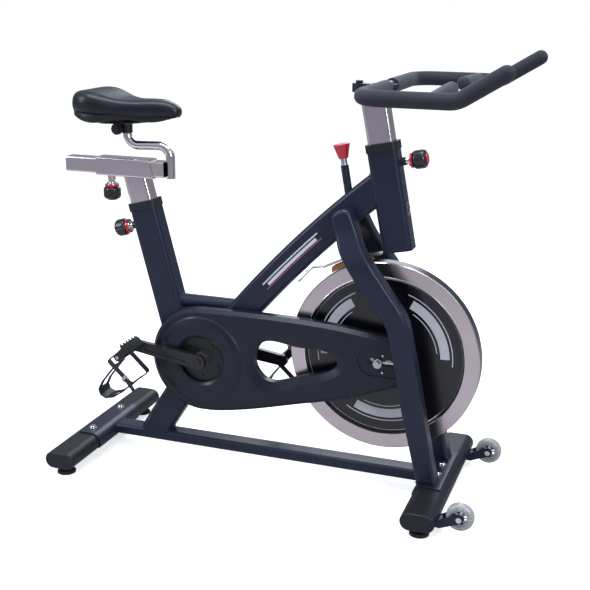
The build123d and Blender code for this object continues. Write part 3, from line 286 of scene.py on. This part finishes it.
def lathe(name, profile, origin, axis, finish, body, around=48, ribs=None):
    """Turns (radius, distance) pairs about an axis; ribs is (count, depth, low, high) for grooves."""
    d = Vector(axis).normalized()
    u, v = frame_at(d)
    origin = Vector(origin)
    verts, faces = [], []
    for r, h in profile:
        for k in range(around):
            a = 2 * math.pi * k / around
            radius = r
            if ribs and ribs[2] <= h <= ribs[3]:
                radius = r - ribs[1] * max(0.0, math.cos(ribs[0] * a)) ** 6
            verts.append(origin + d * h + (u * math.cos(a) + v * math.sin(a)) * radius)
    for i in range(len(profile) - 1):
        for k in range(around):
            n = (k + 1) % around
            faces.append((i * around + k, i * around + n, (i + 1) * around + n, (i + 1) * around + k))
    if profile[0][0] > 1e-6:
        faces.append(tuple(range(around)))
    if profile[-1][0] > 1e-6:
        faces.append(tuple((len(profile) - 1) * around + k for k in range(around)))
    return piece(name, verts, faces, finish, body)


def ring_points(centre, radius, y, start=0.0, end=360.0, steps=96):
    """Points round an axis along Y, in degrees."""
    closed = abs(end - start) >= 359.9
    count = steps if closed else steps + 1
    out = []
    for i in range(count):
        a = math.radians(start + (end - start) * i / steps)
        out.append(Vector((centre.x + radius * math.cos(a), y, centre.z + radius * math.sin(a))))
    return out


def band(name, inner, outer, rise, finish, body, slot=None):
    """A thin raised strip between two rows of points, lifted by the vector rise."""
    count = len(inner)
    rise = Vector(rise)
    verts = [*inner, *outer, *[p + rise for p in inner], *[p + rise for p in outer]]
    faces = []
    for i in range(count - 1):
        a, b, c, d = i, i + 1, count + i + 1, count + i
        faces.append((2 * count + a, 2 * count + b, 2 * count + c, 2 * count + d))
        faces.append((a, b, 2 * count + b, 2 * count + a))
        faces.append((d, c, 2 * count + c, 2 * count + d))
    for i in (0, count - 1):
        faces.append((i, count + i, 3 * count + i, 2 * count + i))
    return piece(name, verts, faces, finish, body, smooth=False)


# ---------------------------------------------------------------- CAD node finishes by face
TREAD_R, DISC_R = 0.2275, 0.1955  # where the rim's outside begins and the black disc ends


def rim_side(centre, normal):
    r = from_axis(centre, FLY)
    if r > TREAD_R and abs(normal.y) < 0.6:
        return 2
    return 0 if r > DISC_R else 1


repaint("flywheel_casting", rim_side, "polished_rim", "black_disc", "tread")

HEAD_OUT = Vector((0.9813, 0, 0.1925))  # square to the head tube, forward
HEAD_UP = Vector((-0.1925, 0, 0.9813))
KNOBS = {
    "seat_height_knob": Vector((-0.9673, 0, -0.2538)),
    "handlebar_height_knob": HEAD_OUT,
    "seat_slider_knob": Vector((0, 0, -1)),
}


KNOB_DISC, KNOB_GRIP, KNOB_BAND = 0.00195, 0.0342, 0.0391  # where each finish ends, back from the knob's end


for knob, outward in KNOBS.items():
    high = max(v.co.dot(outward) for v in NODES[knob].data.vertices)

    def knob_finish(centre, normal, outward=outward, high=high):
        back = high - centre.dot(outward)
        if KNOB_DISC <= back < KNOB_GRIP:
            return 0
        return 1 if back < KNOB_BAND else 2

    repaint(knob, knob_finish, "gloss_plastic", "red_plastic", "chrome")


PAD_TOP = 0.0141  # height of a levelling foot's rubber
TYRE_BORE_R = 0.0201


def foot_finish(centre, normal):
    return 0 if centre.z < PAD_TOP else 1


for node in NODES:
    if node.startswith("levelling_foot"):
        repaint(node, foot_finish, "rubber", "zinc")

for side, _ in SIDES:
    hub = Vector(JOINTS[f"{side}_wheel_spin"]["pos_m"])

    def wheel_finish(centre, normal, hub=hub):
        return 0 if from_axis(centre, hub) > TYRE_BORE_R else 1

    repaint(f"transport_wheel_{side}", wheel_finish, "tyre", "zinc")


# ---------------------------------------------------------------- soft saddle
def section_loop(obj, point, normal, steps=160):
    """The outline of a mesh where a plane cuts it, in order round its middle and evenly resampled."""
    work = bmesh.new()
    work.from_mesh(obj.data)
    cut = bmesh.ops.bisect_plane(work, geom=work.verts[:] + work.edges[:] + work.faces[:], plane_co=point,
                                 plane_no=normal)
    points = [v.co.copy() for v in cut["geom_cut"] if isinstance(v, bmesh.types.BMVert)]
    work.free()
    middle = sum(points, Vector()) / len(points)
    points.sort(key=lambda p: math.atan2(p.y - middle.y, p.x - middle.x))
    return resample(points, steps)


def resample(points, steps):
    """A closed line through points, as that many points evenly spaced along it."""
    lengths = [(points[(i + 1) % len(points)] - p).length for i, p in enumerate(points)]
    total = sum(lengths)
    out, i, gone = [], 0, 0.0
    for k in range(steps):
        target = total * k / steps
        while i < len(points) - 1 and gone + lengths[i] < target:
            gone += lengths[i]
            i += 1
        t = (target - gone) / max(lengths[i], 1e-9)
        out.append(points[i].lerp(points[(i + 1) % len(points)], min(1.0, t)))
    return out


def soft_skin(name, node, voxel, rounds, finish, body):
    """A padded skin grown from a CAD solid: remeshed evenly, then relaxed until its edges are soft."""
    source = bpy.data.objects.new(name + "_source", NODES[node].data.copy())
    bpy.context.scene.collection.objects.link(source)
    remesh = source.modifiers.new("even", "REMESH")
    remesh.mode, remesh.voxel_size = "VOXEL", voxel
    relax = source.modifiers.new("relax", "SMOOTH")
    relax.factor, relax.iterations = 0.5, rounds
    depsgraph = bpy.context.evaluated_depsgraph_get()
    mesh = bpy.data.meshes.new_from_object(source.evaluated_get(depsgraph))
    bpy.data.objects.remove(source)
    mesh.materials.clear()
    mesh.materials.append(M[finish])
    mesh.shade_smooth()
    obj = bpy.data.objects.new(name, mesh)
    bpy.context.scene.collection.objects.link(obj)
    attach(obj, body)
    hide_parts(node)
    return obj


saddle = soft_skin("saddle_skin", "saddle_pad", 0.0030, 40, "vinyl", "saddle")
pad_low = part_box("saddle_pad")[0]
seam = section_loop(saddle, Vector((pad_low.x, 0, pad_low.z + 0.0135)), Vector((0.045, 0, 1)))
tube("saddle_welt", seam, 0.0013, "vinyl", "saddle", closed=True, around=8)


# ---------------------------------------------------------------- weld beads
def weld(name, node, chosen, axis, size=0.0024, steps=140):
    """A rippled bead round a tube's coped end: the outline of the chosen points, seen along axis."""
    u, v = frame_at(axis)
    points = [p.co.copy() for p in NODES[node].data.vertices if chosen(p.co)]
    if len(points) < 6:
        return
    hull = convex_hull_2d([(p.dot(u), p.dot(v)) for p in points])
    line = resample([points[i] for i in hull], steps)
    radii = [size * (1 + 0.16 * math.sin(2 * math.pi * i / 3.5)) for i in range(steps)]
    tube(name, line, radii, "frame_paint", BODY_OF[node], closed=True, around=8)


def near_surface(other, gap=0.0012):
    """A test for points that lie on another CAD node."""
    mesh = NODES[other].data
    tree = BVHTree.FromPolygons([v.co for v in mesh.vertices], [tuple(p.vertices) for p in mesh.polygons])

    def test(co):
        hit = tree.find_nearest(co, gap)
        return hit[0] is not None

    return test


on_head, on_beam, on_seat = near_surface("head_tube"), near_surface("main_beam"), near_surface("seat_tube")
weld("weld_beam_to_head", "main_beam", on_head, (0.65, 0, 0.75))
weld("weld_seat_to_beam", "seat_tube", on_beam, (-0.25, 0, 0.97))
weld("weld_bridge_rear", "bridge_tube", on_seat, (1, 0, 0), size=0.0018)
weld("weld_bridge_front", "bridge_tube", on_beam, (1, 0, 0), size=0.0018)
beam_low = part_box("main_beam")[0]
weld("weld_beam_to_base", "main_beam", lambda c: c.z < beam_low.z + 0.0012, (0, 0, 1))
leg_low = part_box("fork_legs")[0]
for side, sign in (("left", 1), ("right", -1)):
    weld(f"weld_leg_foot_{side}", "fork_legs", lambda c, s=sign: c.z < leg_low.z + 0.0008 and c.y * s > 0,
         (0, 0, 1))
    weld(f"weld_leg_top_{side}", "fork_legs", lambda c, s=sign: abs(c.y * s - 0.025) < 0.0006, (0, 1, 0))
base_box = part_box("base_tube")
for side, x in (("rear", base_box[0].x), ("front", base_box[1].x)):
    weld(f"weld_base_{side}", "base_tube", lambda c, x=x: abs(c.x - x) < 0.0008, (1, 0, 0), size=0.002)

# ---------------------------------------------------------------- flywheel trim, a painted step highlight and plain graphics
ARCS = ((0.136, 0.158, 62), (0.164, 0.1665, 74), (0.1275, 0.1295, 50))  # inner and outer radius, degrees
web_face = 0.005
rim_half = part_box("flywheel_casting")[1].y
for tag, side in SIDES:
    tube(f"rim_bead_{tag}", ring_points(FLY, 0.1962, side * (rim_half + 0.0001)), 0.0013, "chrome",
         "flywheel", closed=True, around=8)
    # The thin zinc ring on the black disc is a painted highlight: a light line where the disc's step catches the
    # light.
    tube(f"disc_step_highlight_{tag}", ring_points(FLY, 0.1895, side * web_face), 0.0010, "zinc", "flywheel",
         closed=True, around=8)
    for k in range(3):
        middle = 34 + 120 * k
        for j, (r1, r2, span) in enumerate(ARCS):
            inner, outer = [ring_points(FLY, r, side * web_face, middle - span / 2, middle + span / 2, 48)
                            for r in (r1, r2)]
            band(f"disc_arc_{tag}_{k}_{j}", inner, outer, (0, side * 0.0003, 0), "graphic", "flywheel")

# ---------------------------------------------------------------- plain stripes on the beam
def circle_through(a, b, c):
    """Centre and radius of the circle through three (x, z) points."""
    d = 2 * (a[0] * (b[1] - c[1]) + b[0] * (c[1] - a[1]) + c[0] * (a[1] - b[1]))
    sq = [p[0] ** 2 + p[1] ** 2 for p in (a, b, c)]
    x = (sq[0] * (b[1] - c[1]) + sq[1] * (c[1] - a[1]) + sq[2] * (a[1] - b[1])) / d
    z = (sq[0] * (c[0] - b[0]) + sq[1] * (a[0] - c[0]) + sq[2] * (b[0] - a[0])) / d
    return Vector((x, 0, z)), math.hypot(a[0] - x, a[1] - z)


BEAM_LINE = ((-0.615, 0.051), (-0.354, 0.419), (-0.019, 0.750))
beam_centre, beam_radius = circle_through(*[(SHIFT + x, z) for x, z in BEAM_LINE])
beam_start = math.degrees(math.atan2(0.622 - beam_centre.z, SHIFT - 0.158 - beam_centre.x))
beam_end = math.degrees(math.atan2(0.487 - beam_centre.z, SHIFT - 0.298 - beam_centre.x))
BEAM_HALF = 0.025
STRIPES = (  # offset from the beam's middle line, width, start and end along the marked stretch, finish
    (0.0075, 0.0035, 0.0, 1.0, "graphic"), (-0.0015, 0.0075, 0.06, 0.94, "graphic"),
    (-0.0085, 0.0018, 0.0, 1.0, "graphic_red"),
)
for tag, side in SIDES:
    for j, (offset, wide, first, last, finish) in enumerate(STRIPES):
        a, b = [beam_start + (beam_end - beam_start) * t for t in (first, last)]
        inner, outer = [ring_points(beam_centre, beam_radius + offset + edge, side * BEAM_HALF, a, b, 40)
                        for edge in (-wide / 2, wide / 2)]
        band(f"beam_stripe_{tag}_{j}", inner, outer, (0, side * 0.00025, 0), finish, "frame")

# ---------------------------------------------------------------- head tube badge
badge = Vector((SHIFT - 0.020, 0, 0.842)) - HEAD_UP * 0.152 + HEAD_OUT * 0.035
lathe("head_badge", [(0.0, 0.0009), (0.0150, 0.0009), (0.0162, 0.0003), (0.0162, -0.0004)], badge, HEAD_OUT,
      "gloss_plastic", "frame")
u, v = frame_at(HEAD_OUT)
tube("head_badge_ring", [badge + HEAD_OUT * 0.0009 + (u * math.cos(a) + v * math.sin(a)) * 0.0138
                         for a in [math.radians(6 * k) for k in range(60)]],
     0.0006, "zinc", "frame", closed=True, around=6)

# ---------------------------------------------------------------- fasteners, with painted shade in the bolt sockets
bolt_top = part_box("frame_bolts")[1].z
# A flat black hexagon on each bolt top is painted shade: it stands in for the dark inside of a hex socket.
SOCKET_SHADE = [(0.0036, -0.0003), (0.0036, 0.00012), (0.0, 0.00012)]
HEXAGON = 6
for end, x, y in (("rear", -0.7595, 0.075), ("front", 0.1475, 0.027)):
    for tag, side in SIDES:
        lathe(f"socket_shade_{end}_{tag}", SOCKET_SHADE, (SHIFT + x, side * y, bolt_top), (0, 0, 1), "black_steel",
              "frame", around=HEXAGON)


def screw(name, place, outward, body, radius=0.0042, finish="zinc"):
    """A small round-headed screw with a recessed centre."""
    lathe(name, [(radius, -0.0004), (radius, 0.0006), (radius * 0.8, 0.0017), (radius * 0.42, 0.0021),
                 (radius * 0.36, 0.0011), (0.0, 0.0010)],
          place, outward, finish, body, around=20)


guard_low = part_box("chain_guard_outer")[0]
recess = guard_low.y + 0.0025
for j, (dx, dz) in enumerate(((0.010, 0.016), (0.010, -0.026))):
    screw(f"guard_screw_{j}", (SHIFT + dx, recess, FLY.z + dz), (0, -1, 0), "frame", 0.0034)
for j, (x, z) in enumerate(((-0.330, 0.400), (-0.345, 0.186), (-0.070, 0.392), (-0.075, 0.256))):
    screw(f"guard_clip_{j}", (SHIFT + x, guard_low.y, z), (0, -1, 0), "frame", 0.0030, "black_steel")
lathe("tension_washer", [(0.0105, -0.0002), (0.0105, 0.0016), (0.0068, 0.0016)],
      (FLY.x - 0.003, recess, FLY.z - 0.006), (0, -1, 0), "zinc", "frame")
for j, (x, z) in enumerate(((-0.198, 0.528), (-0.2075, 0.512))):
    screw(f"leaf_screw_{j}", (SHIFT + x, 0, z), (-0.73, 0, 0.68), "brake_arm", 0.0038)

# ---------------------------------------------------------------- wheel spokes
SPOKE_ENDS = (0.0195, 0.0268)
for tag, sign in SIDES:
    centre = Vector(JOINTS[f"{tag}_wheel_spin"]["pos_m"])
    for face in (-1, 1):
        y = centre.y + face * 0.0118
        label = f"{tag}_{'out' if face * sign > 0 else 'in'}"
        tube(f"wheel_ring_{label}", ring_points(centre, 0.0225, y), 0.0011, "zinc", f"wheel_{tag}",
             closed=True, around=8)
        for k in range(10):
            a = math.radians(36 * k)
            start, end = [centre + Vector((math.cos(a) * r, y - centre.y, math.sin(a) * r))
                          for r in SPOKE_ENDS]
            tube(f"wheel_spoke_{label}_{k}", [start, end], 0.0012, "zinc", f"wheel_{tag}",
                 around=8)

# ---------------------------------------------------------------- toe strap buckles
TOE, SOLE = Vector((-0.682, 0, -0.731)), Vector((0.731, 0, -0.682))  # the pedals hang toe down
BUCKLE = (0.0085, 0.0065, 0.0016)
BOX_FACES = [(0, 1, 3, 2), (4, 5, 7, 6), (0, 1, 5, 4), (2, 3, 7, 6), (0, 2, 6, 4), (1, 3, 7, 5)]
STRAP_TAIL = ((0, 0.0006, 0), (0.012, 0.0016, 0), (0.026, 0.0010, 0.002), (0.036, -0.0015, 0.006))
for tag, sign in SIDES:
    pin = Vector(JOINTS[f"{tag}_pedal_spin"]["pos_m"])
    out = Vector((0, sign, 0))
    place = pin + TOE * 0.0195 + SOLE * 0.050 + out * 0.0492
    half = [axis * size for axis, size in zip((TOE, SOLE, out), BUCKLE)]
    signs = itertools.product((-1, 1), repeat=3)
    corners = [place + half[0] * a + half[1] * b + half[2] * c for a, b, c in signs]
    buckle = piece(f"strap_buckle_{tag}", corners, BOX_FACES, "zinc", f"pedal_{tag}",
                   smooth=False)
    rounding = buckle.modifiers.new("rounding", "BEVEL")
    rounding.width, rounding.segments = 0.001, 2
    cam = place + out * 0.0022
    tube(f"strap_cam_{tag}", [cam - TOE * 0.008, cam + TOE * 0.008], 0.0019, "zinc", f"pedal_{tag}")
    tail = [place + SOLE * down + out * off + TOE * ahead for down, off, ahead in STRAP_TAIL]
    edges = [[p + TOE * edge for p in tail] for edge in (-0.005, 0.005)]
    band(f"strap_tail_{tag}", *edges, out * 0.0012, "strap", f"pedal_{tag}", slot="strap")


# ---------------------------------------------------------------- stage, light and camera
CAMERA_PLACE = (0.8551, -2.3194, 1.1892)
TURN, RISE, ROLL = (math.radians(a) for a in (19.4, 16.4, 0.5))
SENSOR, LENS = 36, 64.6
FLOOR_SIZE = 60
FLOOR_GLOW = 0.62
FLOOR_BOUNCE = (0.46, 0.44, 0.45, 1)  # what the floor throws back at the bike
LAMP_TINT = (0.88, 0.93, 1.0)
ROOM = ((0.42, (0.10, 0.10, 0.12, 1)), (0.60, (0.30, 0.31, 0.35, 1)), (0.95, (0.60, 0.66, 0.82, 1)))


def plane(name, size, z):
    mesh = bpy.data.meshes.new(name)
    h = size / 2
    mesh.from_pydata([(-h, -h, z), (h, -h, z), (h, h, z), (-h, h, z)], [], [(0, 1, 2, 3)])
    obj = bpy.data.objects.new(name, mesh)
    bpy.context.scene.collection.objects.link(obj)
    return obj


def floor_finish():
    """Pale to the camera, with a soft shadow, and mid grey in what it throws back at the bike."""
    m = material("floor", (0.80, 0.80, 0.80), 0.9, grain=40, bump=0.0, tint=0.01, specular=0.0)
    nodes, links = m.node_tree.nodes, m.node_tree.links
    path = nodes.new("ShaderNodeLightPath")
    glow = nodes.new("ShaderNodeEmission")
    glow.inputs["Color"].default_value = (1, 1, 1, 1)
    glow.inputs["Strength"].default_value = FLOOR_GLOW
    both = nodes.new("ShaderNodeAddShader")
    links.new(nodes["Principled BSDF"].outputs[0], both.inputs[0])
    links.new(glow.outputs[0], both.inputs[1])
    dim = nodes.new("ShaderNodeBsdfDiffuse")
    dim.inputs["Color"].default_value = FLOOR_BOUNCE
    pick = nodes.new("ShaderNodeMixShader")
    links.new(path.outputs["Is Camera Ray"], pick.inputs[0])
    links.new(dim.outputs[0], pick.inputs[1])
    links.new(both.outputs[0], pick.inputs[2])
    links.new(pick.outputs[0], nodes["Material Output"].inputs["Surface"])
    return m


floor = plane("floor", FLOOR_SIZE, 0)
floor.data.materials.append(floor_finish())
floor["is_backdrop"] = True

world = bpy.data.worlds.new("studio")
bpy.context.scene.world = world
world.use_nodes = True
wn, wl = world.node_tree.nodes, world.node_tree.links
plain = wn["Background"]
plain.inputs["Color"].default_value = (1, 1, 1, 1)
room = wn.new("ShaderNodeBackground")
height = wn.new("ShaderNodeSeparateXYZ")
wl.new(wn.new("ShaderNodeTexCoord").outputs["Generated"], height.inputs[0])
ramp = wn.new("ShaderNodeValToRGB")
stops = ramp.color_ramp.elements
stops.new(ROOM[1][0])
for stop, (position, colour) in zip(stops, ROOM):
    stop.position, stop.color = position, colour
spread = wn.new("ShaderNodeMapRange")
spread.inputs["From Min"].default_value = -1
wl.new(height.outputs["Z"], spread.inputs["Value"])
wl.new(spread.outputs[0], ramp.inputs["Fac"])
wl.new(ramp.outputs["Color"], room.inputs["Color"])
choose = wn.new("ShaderNodeMixShader")
wl.new(wn.new("ShaderNodeLightPath").outputs["Is Camera Ray"], choose.inputs[0])
wl.new(room.outputs[0], choose.inputs[1])
wl.new(plain.outputs[0], choose.inputs[2])
wl.new(choose.outputs[0], wn["World Output"].inputs["Surface"])
bpy.context.scene.view_settings.view_transform = "Standard"


def softbox(name, place, target, size, power):
    data = bpy.data.lights.new(name, "AREA")
    data.shape, data.size, data.size_y, data.energy = "RECTANGLE", size[0], size[1], power
    data.color = LAMP_TINT
    lamp = bpy.data.objects.new(name, data)
    bpy.context.scene.collection.objects.link(lamp)
    lamp.location = place
    lamp.rotation_mode = "QUATERNION"
    lamp.rotation_quaternion = (Vector(target) - Vector(place)).to_track_quat("-Z", "Y")


softbox("overhead", (0.1, -0.3, 2.9), (0, 0, 0.5), (2.4, 1.2), 62)
softbox("front_side", (2.3, -1.9, 1.9), (0.1, 0, 0.5), (0.7, 1.6), 44)
softbox("rear_side", (-2.2, -1.6, 1.7), (-0.1, 0, 0.5), (0.6, 1.6), 32)
softbox("far_side", (-0.4, 2.4, 1.8), (0, 0, 0.5), (1.6, 1.0), 24)

camera_data = bpy.data.cameras.new("camera")
camera = bpy.data.objects.new("camera", camera_data)
bpy.context.scene.collection.objects.link(camera)
camera_data.sensor_width, camera_data.lens = SENSOR, LENS
camera.location = CAMERA_PLACE
camera.rotation_mode = "QUATERNION"
back = Vector((math.sin(TURN) * math.cos(RISE), -math.cos(TURN) * math.cos(RISE), math.sin(RISE)))
roll = Matrix.Rotation(ROLL, 3, "Z").to_quaternion()
camera.rotation_quaternion = (-back).to_track_quat("-Z", "Y") @ roll
bpy.context.scene.camera = camera

low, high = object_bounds()
